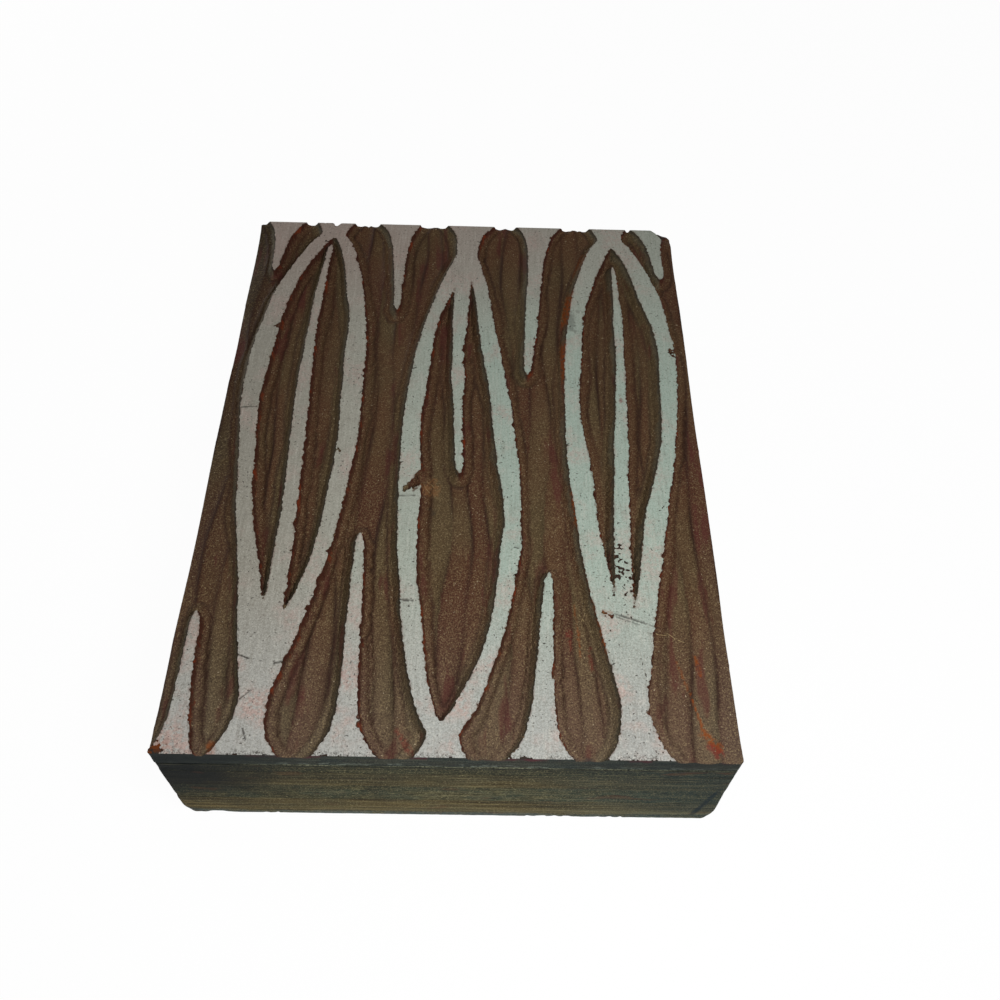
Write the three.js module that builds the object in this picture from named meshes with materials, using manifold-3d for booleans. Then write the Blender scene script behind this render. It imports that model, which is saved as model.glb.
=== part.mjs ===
import * as THREE from 'three'
import { mergeVertices } from 'three/addons/utils/BufferGeometryUtils.js'
import Module from 'manifold-3d'

const wasm = await Module()
wasm.setup()

// A hand-cut linoleum printing block on a five-ply mount, in millimetres, lying on its back with
// the carved face up. Origin: the centre of the underside. Its short front side faces -Y.

// Plan of the block
const blockWidth = 76.2
const blockLength = 101.6
const cornerRadius = 0.5

// Layers from the underside up, which make type height together
const backVeneerThickness = 1.4
const glueLineThickness = 0.1
const lowerCrossbandThickness = 5.1
const coreThickness = 5.3
const upperCrossbandThickness = 4.82
const faceVeneerThickness = 2.0
const mountingGlueThickness = 0.15
const hessianThickness = 0.65
const linoThickness = 3.42
const groundThickness = 0.08

// Rounding by handling: the arris of the underside, and the fibres drawn in at the hessian's edge
const arrisWear = 0.2
const hessianDrawnIn = 0.12

// Cleared ground between the leaves: scooped flutes side by side, which sway along the block and
// run out shallower at its front and back edges
const clearedDepth = 1.55
const frontRise = 0.85
const backRise = 0.9
const riseReach = 3.6
const fluteWidth = 3.1
const fluteRidge = 0.42
const fluteSway = 0.75
const fluteSwayLength = 47
const depthSwing = 0.22
const depthSwingLength = 33

// Cut lines: the pale strokes that are left standing, and how their walls spread to the root
const strokeWidth = 2.95
const strokeSwing = 0.45
const strokeSwingLength = 61
const strokeTremor = 0.22
const strokeTremorLength = 23
const rootDepth = 2.5
const leftSpread = 1.15
const rightSpread = 0.4
const stemWidth = 3.0
const stalkLength = 8
const tipGap = 3.5
const footFlare = 2.8
const footReach = 2.8
const tipFlare = 1.9
const tipReach = 2.4
const midribWidth = 3.1
const pointWidth = 0.7

// Leaves: where base and tip stand across the block, their half width, bow and midrib
const leaves = [
  { name: 'left', growsBack: true, baseShare: -0.345, tipShare: -0.315, halfShare: 0.127, bowShare: 0.012,
    widestShare: 0.60, midribShare: 0.94, phase: 0.4 },
  { name: 'middle', growsBack: false, baseShare: 0.012, tipShare: -0.012, halfShare: 0.122, bowShare: -0.013,
    widestShare: 0.57, midribShare: 0.56, phase: 2.1 },
  { name: 'right', growsBack: true, baseShare: 0.325, tipShare: 0.345, halfShare: 0.122, bowShare: -0.0105,
    widestShare: 0.63, midribShare: 0.90, phase: 4.0 },
]
const bladeFullness = 0.6

// Shoots: slim pointed strokes that stand on the front and back edges with a flared foot
const shootWidth = 2.7
const shootFlare = 2.7
const shootReach = 2.8
const shootTaper = 0.42
const shoots = [
  { atBack: false, placeShare: -0.173, heightShare: 0.33, leanShare: -0.02, sizeShare: 1 },
  { atBack: false, placeShare: 0.157, heightShare: 0.27, leanShare: 0.06, sizeShare: 1 },
  { atBack: true, placeShare: -0.157, heightShare: 0.22, leanShare: 0.02, sizeShare: 0.95 },
  { atBack: true, placeShare: 0.177, heightShare: 0.36, leanShare: -0.07, sizeShare: 1.05 },
  { atBack: true, placeShare: 0.446, heightShare: 0.13, leanShare: 0.08, sizeShare: 0.85 },
  { atBack: true, placeShare: -0.435, heightShare: 0.13, leanShare: -0.06, sizeShare: 0.85 },
  { atBack: false, placeShare: -0.458, heightShare: 0.2, leanShare: -0.02, sizeShare: 0.78 },
]

// The broken corner at the back right
const chipAcross = 3.4
const chipAlong = 6.4
const chipDepth = 2.2
const chipBendShares = { across: 0.45, along: 0.35 }
const chipFootShare = 0.45

// Steps of the curves
const strokeSteps = 34
const shootSteps = 14
const floorSteps = 24
const stepsPerFlute = 4
const cornerSteps = 4
const overrun = 1

const halfWidth = blockWidth / 2
const halfLength = blockLength / 2
const wave = (distance, length, phase) => Math.sin(2 * Math.PI * distance / length + phase)

// A closed surface through rings of equally many points, each ring counted the right-hand way
// about the direction of travel. The ends are closed by strips between facing points.
function loft(rings) {
  const count = rings[0].length
  const positions = rings.flat().flatMap((point) => [point.x, point.y, point.z])
  const faces = []
  const quad = (a, b, c, d) => faces.push(a, b, c, a, c, d)
  for (let ring = 0; ring < rings.length - 1; ring++) {
    const near = ring * count
    const far = near + count
    for (let i = 0; i < count; i++) {
      const next = (i + 1) % count
      quad(near + i, near + next, far + next, far + i)
    }
  }
  const last = (rings.length - 1) * count
  for (let i = 0; i < count / 2 - 1; i++) {
    const [a, b, c, d] = [i, i + 1, count - 2 - i, count - 1 - i]
    quad(a, d, c, b)
    quad(last + a, last + b, last + c, last + d)
  }
  const geometry = new THREE.BufferGeometry()
  geometry.setAttribute('position', new THREE.Float32BufferAttribute(positions, 3))
  geometry.setIndex(faces)
  return geometry
}

function solidOf(geometry) {
  const merged = mergeVertices(geometry)
  const vertProperties = new Float32Array(merged.attributes.position.array)
  const triVerts = new Uint32Array(merged.index.array)
  return new wasm.Manifold(new wasm.Mesh({ numProp: 3, vertProperties, triVerts }))
}

function geometryOf(solid) {
  const mesh = solid.getMesh()
  const geometry = new THREE.BufferGeometry()
  geometry.setAttribute('position', new THREE.BufferAttribute(mesh.vertProperties, 3))
  geometry.setIndex(new THREE.BufferAttribute(mesh.triVerts, 1))
  geometry.computeVertexNormals()
  return geometry
}

const joined = (solids) => solids.reduce((whole, solid) => whole.add(solid))

// The block's plan, a rectangle with worn corners, drawn in by an inset
function planRing(inset, z) {
  const corners = [[1, 1], [-1, 1], [-1, -1], [1, -1]]
  return corners.flatMap(([sideX, sideY], corner) => {
    const centreX = sideX * (halfWidth - cornerRadius)
    const centreY = sideY * (halfLength - cornerRadius)
    return Array.from({ length: cornerSteps + 1 }, (unused, step) => {
      const angle = (corner + step / cornerSteps) * Math.PI / 2
      const reach = cornerRadius - inset
      return new THREE.Vector3(centreX + reach * Math.cos(angle), centreY + reach * Math.sin(angle), z)
    })
  })
}

function plainLayer(thickness) {
  return loft([planRing(0, 0), planRing(0, thickness)])
}

function backVeneer() {
  return loft([planRing(arrisWear, 0), planRing(0, arrisWear), planRing(0, backVeneerThickness)])
}

function hessian() {
  const middle = hessianThickness / 2
  return loft([planRing(0, 0), planRing(hessianDrawnIn, middle), planRing(0, hessianThickness)])
}

// Leaf outline

const alongLeaf = (leaf, y) => leaf.growsBack ? halfLength + y : halfLength - y

function leafAxis(leaf, along) {
  const lean = (leaf.tipShare - leaf.baseShare) * blockWidth * along / blockLength
  return leaf.baseShare * blockWidth + lean + leaf.bowShare * blockWidth * wave(along, blockLength, 0)
}

// Half width: the stem, the blade's swelling between stalk and tip, and a flare at each edge
function leafHalfWidth(leaf, along) {
  const bladeLength = blockLength - stalkLength - tipGap
  const place = THREE.MathUtils.clamp((along - stalkLength) / bladeLength, 0, 1)
  const skew = Math.log(0.5) / Math.log(leaf.widestShare)
  const swelling = Math.max(Math.sin(Math.PI * place ** skew), 0) ** bladeFullness
  const stem = stemWidth / 2
  const foot = footFlare * Math.exp(-along / footReach)
  const tip = tipFlare * Math.exp((along - blockLength) / tipReach)
  return stem + (leaf.halfShare * blockWidth - stem) * swelling + foot + tip
}

function strokeAt(along, phase) {
  const swing = strokeSwing * wave(along, strokeSwingLength, phase)
  return strokeWidth + swing + strokeTremor * wave(along, strokeTremorLength, 2 * phase)
}

// A stroke is given by its two sides as functions of y, between two ends
function leafStrokes(leaf) {
  const ends = { from: -halfLength - overrun, to: halfLength + overrun }
  const innerShare = 0.9
  const left = (y) => leafAxis(leaf, alongLeaf(leaf, y)) - leafHalfWidth(leaf, alongLeaf(leaf, y))
  const right = (y) => leafAxis(leaf, alongLeaf(leaf, y)) + leafHalfWidth(leaf, alongLeaf(leaf, y))
  const inside = (y) => innerShare * leafHalfWidth(leaf, alongLeaf(leaf, y))
  const axis = (y) => leafAxis(leaf, alongLeaf(leaf, y))
  const leftStroke = {
    ...ends,
    left,
    right: (y) => Math.min(left(y) + strokeAt(alongLeaf(leaf, y), leaf.phase), axis(y) + inside(y)),
  }
  const rightStroke = {
    ...ends,
    left: (y) => Math.max(right(y) - strokeAt(alongLeaf(leaf, y), leaf.phase + 1), axis(y) - inside(y)),
    right,
  }
  const midribEnd = leaf.midribShare * blockLength
  const midribHalf = (y) => {
    const left = Math.max(1 - alongLeaf(leaf, y) / midribEnd, 0)
    return (midribWidth - pointWidth) / 2 * left ** 0.6 + pointWidth / 2
  }
  const midrib = {
    from: leaf.growsBack ? -halfLength - overrun : halfLength - midribEnd,
    to: leaf.growsBack ? midribEnd - halfLength : halfLength + overrun,
    left: (y) => axis(y) - midribHalf(y),
    right: (y) => axis(y) + midribHalf(y),
  }
  return [leftStroke, rightStroke, midrib]
}

function shootStroke(shoot) {
  const side = shoot.atBack ? 1 : -1
  const height = shoot.heightShare * blockLength
  const fromEdge = (y) => halfLength - side * y
  const centre = (y) => shoot.placeShare * blockWidth + shoot.leanShare * fromEdge(y)
  const half = (y) => {
    const left = Math.max(1 - fromEdge(y) / height, 0)
    const stem = (shoot.sizeShare * shootWidth - pointWidth) / 2 * left ** shootTaper
    return stem + pointWidth / 2 + shoot.sizeShare * shootFlare * Math.exp(-fromEdge(y) / shootReach)
  }
  const tip = side * (halfLength - height)
  const foot = side * (halfLength + overrun)
  return {
    from: Math.min(tip, foot),
    to: Math.max(tip, foot),
    steps: shootSteps,
    left: (y) => centre(y) - half(y),
    right: (y) => centre(y) + half(y),
  }
}

// Places between two ends, closer together near them
function placesBetween(from, to, steps) {
  const evenShare = 0.55
  return Array.from({ length: steps + 1 }, (unused, step) => {
    const even = step / steps
    const eased = (1 - Math.cos(Math.PI * even)) / 2
    return THREE.MathUtils.lerp(from, to, evenShare * even + (1 - evenShare) * eased)
  })
}

// A stroke as a solid: flat on top, with walls that spread towards the bottom, the left one more
function strokeSolid(stroke, bottom, top, spread = { left: 0, right: 0 }) {
  const places = placesBetween(stroke.from, stroke.to, stroke.steps ?? strokeSteps)
  return solidOf(loft(places.map((y) => [
    new THREE.Vector3(stroke.left(y), y, top),
    new THREE.Vector3(stroke.right(y), y, top),
    new THREE.Vector3(stroke.right(y) + spread.right, y, bottom),
    new THREE.Vector3(stroke.left(y) - spread.left, y, bottom),
  ])))
}

// The cleared ground over the whole plan and past its edges. Its columns follow the flutes, so
// that the ridges between two scoops stay sharp.
function clearedGround() {
  const flutes = Math.ceil(blockWidth / fluteWidth) + 2
  const columns = Array.from({ length: flutes * stepsPerFlute + 1 }, (unused, column) => column / stepsPerFlute)
  const start = -flutes * fluteWidth / 2
  const reach = halfLength + overrun
  const rings = placesBetween(-reach, reach, floorSteps).map((y) => {
    const fromEdge = Math.max(halfLength - Math.abs(y), 0)
    const rise = (y < 0 ? frontRise : backRise) * Math.exp(-fromEdge / riseReach)
    const placeOf = (flute) => start + flute * fluteWidth + fluteSway * wave(y, fluteSwayLength, flute * 0.76)
    const heightOf = (flute) => {
      const scoop = (2 * (flute - Math.floor(flute)) - 1) ** 2
      const swing = depthSwing * wave(y, depthSwingLength, Math.floor(flute) * 1.9)
      return linoThickness - clearedDepth + rise + fluteRidge * scoop + (1 - scoop) * swing
    }
    const top = columns.map((flute) => new THREE.Vector3(placeOf(flute), y, heightOf(flute)))
    const bottom = columns.map((flute) => new THREE.Vector3(placeOf(flute), y, -overrun)).reverse()
    return [...top, ...bottom]
  })
  return solidOf(loft(rings))
}

function brokenCorner(top) {
  const ring = (share, z) => [
    new THREE.Vector3(halfWidth - share * chipAcross, halfLength + overrun, z),
    new THREE.Vector3(halfWidth - share * chipBendShares.across * chipAcross,
      halfLength - share * chipBendShares.along * chipAlong, z),
    new THREE.Vector3(halfWidth + overrun, halfLength - share * chipAlong, z),
    new THREE.Vector3(halfWidth + overrun, halfLength + overrun, z),
  ]
  return solidOf(loft([ring(chipFootShare, top - chipDepth), ring(1, top), ring(1, top + overrun)]))
}

const motifs = [
  ...leaves.map((leaf) => ({ name: `ground_${leaf.name}_leaf`, strokes: leafStrokes(leaf) })),
  ...shoots.map((shoot, i) => ({ name: `ground_shoot_${i + 1}`, strokes: [shootStroke(shoot)] })),
]

// The linoleum: the fluted ground with the strokes standing on it, cut to the plan
function linoSheet() {
  const rootZ = linoThickness - rootDepth
  const spread = { left: leftSpread, right: rightSpread }
  const strokes = motifs.flatMap((motif) => motif.strokes)
  const standing = strokes.map((stroke) => strokeSolid(stroke, rootZ, linoThickness, spread))
  const plan = solidOf(plainLayer(linoThickness))
  return geometryOf(joined([clearedGround(), ...standing]).intersect(plan).subtract(brokenCorner(linoThickness)))
}

// The white drawing ground left on one motif: a film on the flat of its strokes
function groundFilm(motif) {
  const film = joined(motif.strokes.map((stroke) => strokeSolid(stroke, 0, groundThickness)))
  const plan = solidOf(plainLayer(groundThickness))
  return geometryOf(film.intersect(plan).subtract(brokenCorner(0)))
}

// Finishes, as dirty and ink-stained as the real ones
const finish = (color, roughness) => new THREE.MeshStandardMaterial({ color, roughness, metalness: 0 })
const linoFinish = finish(0x5f4634, 0.7)
const groundFinish = finish(0xb9b6aa, 0.6)
const hessianFinish = finish(0x4d4a38, 0.95)
const glueFinish = finish(0x241c14, 0.5)
const endGrainFinish = finish(0x2f4340, 0.85)
const longGrainFinish = finish(0x6b5a38, 0.8)

const block = new THREE.Group()

function place(name, geometry, material, base) {
  const mesh = new THREE.Mesh(geometry, material)
  mesh.name = name
  mesh.position.z = base
  block.add(mesh)
}

const layers = [
  { name: 'back_veneer', thickness: backVeneerThickness, shape: backVeneer, material: endGrainFinish },
  { name: 'glue_line_1', thickness: glueLineThickness, material: glueFinish },
  { name: 'lower_crossband', thickness: lowerCrossbandThickness, material: longGrainFinish },
  { name: 'glue_line_2', thickness: glueLineThickness, material: glueFinish },
  { name: 'core_ply', thickness: coreThickness, material: endGrainFinish },
  { name: 'glue_line_3', thickness: glueLineThickness, material: glueFinish },
  { name: 'upper_crossband', thickness: upperCrossbandThickness, material: longGrainFinish },
  { name: 'glue_line_4', thickness: glueLineThickness, material: glueFinish },
  { name: 'face_veneer', thickness: faceVeneerThickness, material: endGrainFinish },
  { name: 'mounting_glue', thickness: mountingGlueThickness, material: glueFinish },
  { name: 'hessian_backing', thickness: hessianThickness, shape: hessian, material: hessianFinish },
  { name: 'lino_sheet', thickness: linoThickness, shape: linoSheet, material: linoFinish },
]

let height = 0
for (const { name, thickness, shape, material } of layers) {
  place(name, shape ? shape() : plainLayer(thickness), material, height)
  height += thickness
}
for (const motif of motifs) place(motif.name, groundFilm(motif), groundFinish, height)

export default block
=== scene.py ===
import bpy
import math
import numpy as np
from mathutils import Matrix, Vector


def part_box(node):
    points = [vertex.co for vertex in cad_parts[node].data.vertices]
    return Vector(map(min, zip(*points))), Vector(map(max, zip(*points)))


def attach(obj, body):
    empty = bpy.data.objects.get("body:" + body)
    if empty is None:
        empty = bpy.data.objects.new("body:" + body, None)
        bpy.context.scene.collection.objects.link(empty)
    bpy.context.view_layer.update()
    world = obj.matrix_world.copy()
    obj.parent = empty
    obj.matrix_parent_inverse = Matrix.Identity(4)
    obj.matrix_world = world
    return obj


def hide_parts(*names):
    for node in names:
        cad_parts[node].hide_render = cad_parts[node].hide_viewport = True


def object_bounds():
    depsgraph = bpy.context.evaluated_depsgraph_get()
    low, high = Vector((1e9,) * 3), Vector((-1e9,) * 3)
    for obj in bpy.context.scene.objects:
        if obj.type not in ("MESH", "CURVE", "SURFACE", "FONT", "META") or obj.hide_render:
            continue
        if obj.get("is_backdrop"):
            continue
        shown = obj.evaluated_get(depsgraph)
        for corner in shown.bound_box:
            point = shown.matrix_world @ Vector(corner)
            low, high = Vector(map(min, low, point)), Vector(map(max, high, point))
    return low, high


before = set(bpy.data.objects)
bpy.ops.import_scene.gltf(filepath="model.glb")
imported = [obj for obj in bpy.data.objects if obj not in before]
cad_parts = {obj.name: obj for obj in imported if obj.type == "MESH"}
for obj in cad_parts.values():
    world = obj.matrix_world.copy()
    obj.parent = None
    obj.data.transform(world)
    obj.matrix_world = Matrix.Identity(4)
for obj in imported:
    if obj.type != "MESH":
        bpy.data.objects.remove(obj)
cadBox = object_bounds()

# Lengths are millimetres in this file, and a mesh turns them into metres when it is made.
# The carved block lies on its back, with its short front side towards -Y.
# A list of noises holds the height, size and seed of each.
metresPerMm = 0.001


def nodeBox(node):  # lowest and highest corner of a CAD node, in millimetres
    return tuple(np.array(corner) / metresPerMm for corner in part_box(node))


linoLow, linoHigh = nodeBox("lino_sheet")
halfWidth, halfLength = float(linoHigh[0]), float(linoHigh[1])
blockWidth, blockLength = 2 * halfWidth, 2 * halfLength
sheetBottom, sheetTop = float(linoLow[2]), float(linoHigh[2])
filmTop = float(nodeBox("ground_middle_leaf")[1][2])
filmThickness = filmTop - sheetTop
cornerRadius = 0.5
sharpDegrees = 35  # edges with a wider angle than this stay sharp
tiny = 1e-9  # keeps divisions from zero


def putInScene(name, data, position=(0, 0, 0)):  # an object at a place in millimetres
    item = bpy.data.objects.new(name, data)
    item.location = [place * metresPerMm for place in position]
    bpy.context.scene.collection.objects.link(item)
    return item


# Camera, lamps and floor

photoView = {
    "position": (3.519, -98.072, 149.793),
    "turnDegrees": (36.570, -1.473, 0.325),
    "lens": 36.77, "sensor": 36,
    "shift": (0.0017, -0.0366),
    "clip": (10, 8000),
}

room = {
    "skyStrength": 0.18,
    "floorSize": 6000, "floorGrey": 0.80, "floorGlow": 0.97,
    "lamps": [
        {"name": "key_lamp", "position": (38, -88, 134), "size": 60, "watts": 0.236},
        {"name": "back_lamp", "position": (-230, 300, 80), "size": 130, "watts": 0.50},
    ],
}


def placeCamera():  # where the photograph was taken from
    data = bpy.data.cameras.new("camera")
    data.sensor_width = photoView["sensor"]
    data.lens = photoView["lens"]
    data.shift_x, data.shift_y = photoView["shift"]
    data.clip_start, data.clip_end = (distance * metresPerMm for distance in photoView["clip"])
    camera = putInScene("camera", data, photoView["position"])
    camera.rotation_euler = [math.radians(angle) for angle in photoView["turnDegrees"]]
    bpy.context.scene.camera = camera


def placeLamp(name, position, size, watts):  # a square soft lamp that looks at the block
    data = bpy.data.lights.new(name, "AREA")
    data.size = size * metresPerMm
    data.energy = watts
    lamp = putInScene(name, data, position)
    lamp.rotation_euler = (-lamp.location).to_track_quat("-Z", "Y").to_euler()
    lamp.visible_camera = False


# Materials: shader maths as Python expressions

class Wire:
    # A socket of a tree of nodes. Sums and products of wires and numbers add Math nodes.
    def __init__(self, nodes, socket):
        self.nodes = nodes
        self.socket = socket

    def calc(self, operation, *values):
        return self.nodes.add("ShaderNodeMath", {"operation": operation}, dict(enumerate(values)))

    def __add__(self, other):
        return self.calc("ADD", self, other)

    def __sub__(self, other):
        return self.calc("SUBTRACT", self, other)

    def __rsub__(self, other):
        return self.calc("SUBTRACT", other, self)

    def __mul__(self, other):
        return self.calc("MULTIPLY", self, other)

    __radd__, __rmul__ = __add__, __mul__

    def size(self):
        return self.calc("ABSOLUTE", self)

    def larger(self, other):
        return self.calc("MAXIMUM", self, other)

    def rise(self, start, end):  # 0 below start, 1 above end, eased between them
        inputs = {"Value": self, "From Min": start, "From Max": end}
        return self.nodes.add("ShaderNodeMapRange", {"interpolation_type": "SMOOTHSTEP"}, inputs)

    def fall(self, start, end):  # 1 below start, 0 above end
        return 1 - self.rise(start, end)


class Nodes:
    # The tree of nodes of a material or a world, and the one method that adds nodes to it
    def __init__(self, owner):
        owner.use_nodes = True
        self.tree = owner.node_tree

    def add(self, kind, settings, inputs, output=0):
        node = self.tree.nodes.new(kind)
        for key, value in settings.items():
            setattr(node, key, value)
        self.feed(node, inputs)
        return Wire(self, node.outputs[output])

    def feed(self, node, inputs):  # links or values for the inputs of a node
        for key, value in inputs.items():
            if isinstance(value, Wire):
                self.tree.links.new(value.socket, node.inputs[key])
            else:
                node.inputs[key].default_value = value

    def seen(self, least):  # 1 for camera, mirror and glass rays, and the least for all others
        rays = self.add("ShaderNodeLightPath", {}, {}).socket.node.outputs
        for ray in ("Is Camera Ray", "Is Glossy Ray", "Is Transmission Ray"):
            least = Wire(self, rays[ray]).larger(least)
        return least


class Finish(Nodes):
    # One material: its principled surface, and the base colour that its coats build up from
    # named tones
    def __init__(self, name, tones=None):
        self.material = bpy.data.materials.new(name)
        super().__init__(self.material)
        self.surface = self.tree.nodes["Principled BSDF"]
        self.tones = tones
        if tones:  # Object coordinates in millimetres
            spot = self.add("ShaderNodeTexCoord", {}, {}, "Object")
            self.place = self.vector("SCALE", {0: spot, "Scale": 1 / metresPerMm})
            self.axes = self.parts(self.place)

    def vector(self, operation, inputs):
        return self.add("ShaderNodeVectorMath", {"operation": operation}, inputs)

    def noise(self, grain, detail=2.0, roughness=0.5, stretch=(1, 1, 1)):
        # soft noise from 0 to 1, whose blotches are about as large as the grain in millimetres,
        # divided by the stretch of each axis
        place = self.vector("MULTIPLY", {0: self.place, 1: stretch})
        inputs = {"Vector": place, "Scale": 1 / grain, "Detail": detail, "Roughness": roughness}
        return self.add("ShaderNodeTexNoise", {}, inputs)

    def parts(self, value, kind="ShaderNodeSeparateXYZ"):  # the three parts of a vector or colour
        node = self.add(kind, {}, {0: value}).socket.node
        return [Wire(self, node.outputs[part]) for part in range(3)]

    def attribute(self, name, output="Fac"):
        return self.add("ShaderNodeAttribute", {"attribute_name": name}, {}, output)

    def firstThree(self, name):  # the first three of an attribute's four values
        return self.parts(self.attribute(name, "Color"), "ShaderNodeSeparateColor")

    def blend(self, share, first, second):  # two colours, by the share of the second
        return self.add("ShaderNodeMix", {"data_type": "RGBA"}, {0: share, 6: first, 7: second}, 2)

    def tone(self, name):  # a screen colour from 0 to 255, made linear
        shares = np.array(self.tones[name]) / 255
        linear = np.where(shares <= 0.04045, shares / 12.92, ((shares + 0.055) / 1.055) ** 2.4)
        return (*(float(share) for share in linear), 1.0)

    def start(self, share, under, over):  # the lowest coat, mixed from two tones
        self.base = self.blend(share, self.tone(under), self.tone(over))

    def coat(self, share, over):  # a tone or a colour wire that covers its share of the others
        over = self.tone(over) if isinstance(over, str) else over
        self.base = self.blend(share, self.base, over)

    def finishWith(self, roughness, height, depth, shine):
        # height is a wire in millimetres, and depth is the share of it that shows
        inputs = {"Height": height * metresPerMm, "Distance": 1.0, "Strength": depth}
        bump = self.add("ShaderNodeBump", {}, inputs)
        inputs = {"Base Color": self.base, "Roughness": roughness, "Normal": bump}
        self.feed(self.surface, {**inputs, "Specular IOR Level": shine})
        return self.material


def whiteFloor():
    # The floor takes the shadow as a pale matt surface. For camera, mirror and glass rays most
    # of it glows white.
    finish = Finish("white_floor")
    grey = [room["floorGrey"]] * 3 + [1]
    finish.feed(finish.surface, {"Base Color": grey, "Roughness": 1, "Specular IOR Level": 0})
    matt = Wire(finish, finish.surface.outputs[0])
    glow = finish.add("ShaderNodeEmission", {}, {"Color": (1, 1, 1, 1), "Strength": 1})
    share = finish.seen(0) * room["floorGlow"]
    both = finish.add("ShaderNodeMixShader", {}, {0: share, 1: matt, 2: glow})
    finish.feed(finish.tree.nodes["Material Output"], {"Surface": both})
    return finish.material


def makeRoom():
    # the world lights the block evenly and looks white to camera, mirror and glass rays
    world = bpy.data.worlds.new("studio")
    sky = Nodes(world)
    light = {"Color": (1, 1, 1, 1), "Strength": sky.seen(room["skyStrength"])}
    sky.feed(sky.tree.nodes["Background"], light)
    bpy.context.scene.world = world
    reach = room["floorSize"] * metresPerMm / 2
    floorMesh = bpy.data.meshes.new("floor")
    corners = [(-reach, -reach, 0), (reach, -reach, 0), (reach, reach, 0), (-reach, reach, 0)]
    floorMesh.from_pydata(corners, [], [(0, 1, 2, 3)])
    floorMesh.materials.append(whiteFloor())
    floor = putInScene("floor", floorMesh)
    floor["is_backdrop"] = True
    for lamp in room["lamps"]:
        placeLamp(**lamp)


# Shapes shared by all pieces

def eased(share):  # 0 to 1 with a soft start and end
    share = np.clip(share, 0, 1)
    return share * share * (3 - 2 * share)


def positive(values):  # values below 0 become 0
    return np.maximum(values, 0)


latticeSize = 211


def softNoise(across, along, size, seed):
    # random values on a square lattice of the given size, eased between neighbours, from -1 to 1
    lattice = np.random.default_rng(seed).uniform(-1, 1, (latticeSize, latticeSize))
    u, v = across / size, along / size
    column, row = np.floor(u).astype(int), np.floor(v).astype(int)
    right, up = eased(u - column), eased(v - row)
    corner = lambda i, j: lattice[(column + i) % latticeSize, (row + j) % latticeSize]
    near = corner(0, 0) * (1 - right) + corner(1, 0) * right
    far = corner(0, 1) * (1 - right) + corner(1, 1) * right
    return near * (1 - up) + far * up


def noises(across, along, layers):  # a sum of soft noises, each given as its height, size and seed
    return sum(height * softNoise(across, along, size, seed) for height, size, seed in layers)


def columns(*parts):  # arrays side by side, one row for each point or triangle
    return np.stack(parts, -1)


def pastCorner(x, y, radius):  # distances past the lines where a round corner starts
    u = positive(np.abs(x) - (halfWidth - radius))
    v = positive(np.abs(y) - (halfLength - radius))
    return u, v, np.maximum(np.hypot(u, v), tiny)


def roundedPlan(x, y):
    # pulls the square corner of a grid onto the block's rounded corner: each point keeps its
    # direction from the corner's centre, and its larger side becomes its distance
    u, v, away = pastCorner(x, y, cornerRadius)
    both = (u > 0) & (v > 0)
    shrink = np.where(both, np.maximum(u, v) / away, 1)
    roundX = np.sign(x) * (halfWidth - cornerRadius + u * shrink)
    roundY = np.sign(y) * (halfLength - cornerRadius + v * shrink)
    return np.where(both, roundX, x), np.where(both, roundY, y)


def planNormal(x, y):  # the direction out of the block's side at a point on its outline
    u, v, away = pastCorner(x, y, cornerRadius)
    return np.sign(x) * u / away, np.sign(y) * v / away


def edgeDistance(x, y):  # how far a point lies inside the block's sides, at least 0
    return positive(np.minimum(halfWidth - np.abs(x), halfLength - np.abs(y)))


def fading(start, distance):  # falls off with distance, from a height and over a reach
    height, reach = start
    return height * np.exp(-distance / reach)


def swing(size, distance, phase):  # a sine wave, given as its height and length
    height, length = size
    return height * np.sin(2 * np.pi * distance / length + phase)


def makePiece(name, points, faces, material, nodes, attributes=None):
    # one mesh from arrays of points in millimetres and of triangles, carried by the block
    mesh = bpy.data.meshes.new(name)
    mesh.vertices.add(len(points))
    mesh.vertices.foreach_set("co", (points * metresPerMm).astype(np.float32).ravel())
    mesh.loops.add(faces.size)
    mesh.loops.foreach_set("vertex_index", faces.astype(np.int32).ravel())
    mesh.polygons.add(len(faces))
    mesh.polygons.foreach_set("loop_start", np.arange(0, faces.size, 3, dtype=np.int32))
    mesh.update(calc_edges=True)
    for key, values in (attributes or {}).items():
        kind, field = ("FLOAT_COLOR", "color") if values.ndim == 2 else ("FLOAT", "value")
        layer = mesh.attributes.new(key, kind, "POINT")
        layer.data.foreach_set(field, values.astype(np.float32).ravel())
    mesh.polygons.foreach_set("use_smooth", np.ones(len(faces), dtype=bool))
    mesh.set_sharp_from_angle(angle=math.radians(sharpDegrees))
    mesh.validate()
    mesh.materials.append(material)
    piece = putInScene(name, mesh)
    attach(piece, "root")
    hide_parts(*nodes)


# Carved relief: where the strokes stand

relief = {  # rises and flares are height and reach, swings are height and length
    "clearedDepth": 1.55, "frontRise": (0.85, 3.6), "backRise": (0.9, 3.6),
    "fluteWidth": 3.1, "fluteRidge": 0.42, "fluteSway": (0.75, 47), "fluteShift": 0.76,
    "depthSwing": (0.22, 33), "strokeWidth": 2.95, "strokeSwing": (0.45, 61),
    "strokeTremor": (0.22, 23), "stemWidth": 3.0, "stalkLength": 8, "tipGap": 3.5,
    "footFlare": (2.8, 2.8), "tipFlare": (1.9, 2.4), "midribWidth": 3.1, "midribTaper": 0.6,
    "pointWidth": 0.7, "bladeFullness": 0.6, "innerShare": 0.9,
    "shootWidth": 2.7, "shootFlare": (2.7, 2.8), "shootTaper": 0.42,
    "crotchRounding": 0.26, "tipRounding": 1.4, "tipBlend": 4.5, "noEnd": -99,
    "leftSlope": 1.5, "rightSlope": 5.0, "overrun": 1, "places": 4001, "softening": 113,
}
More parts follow.
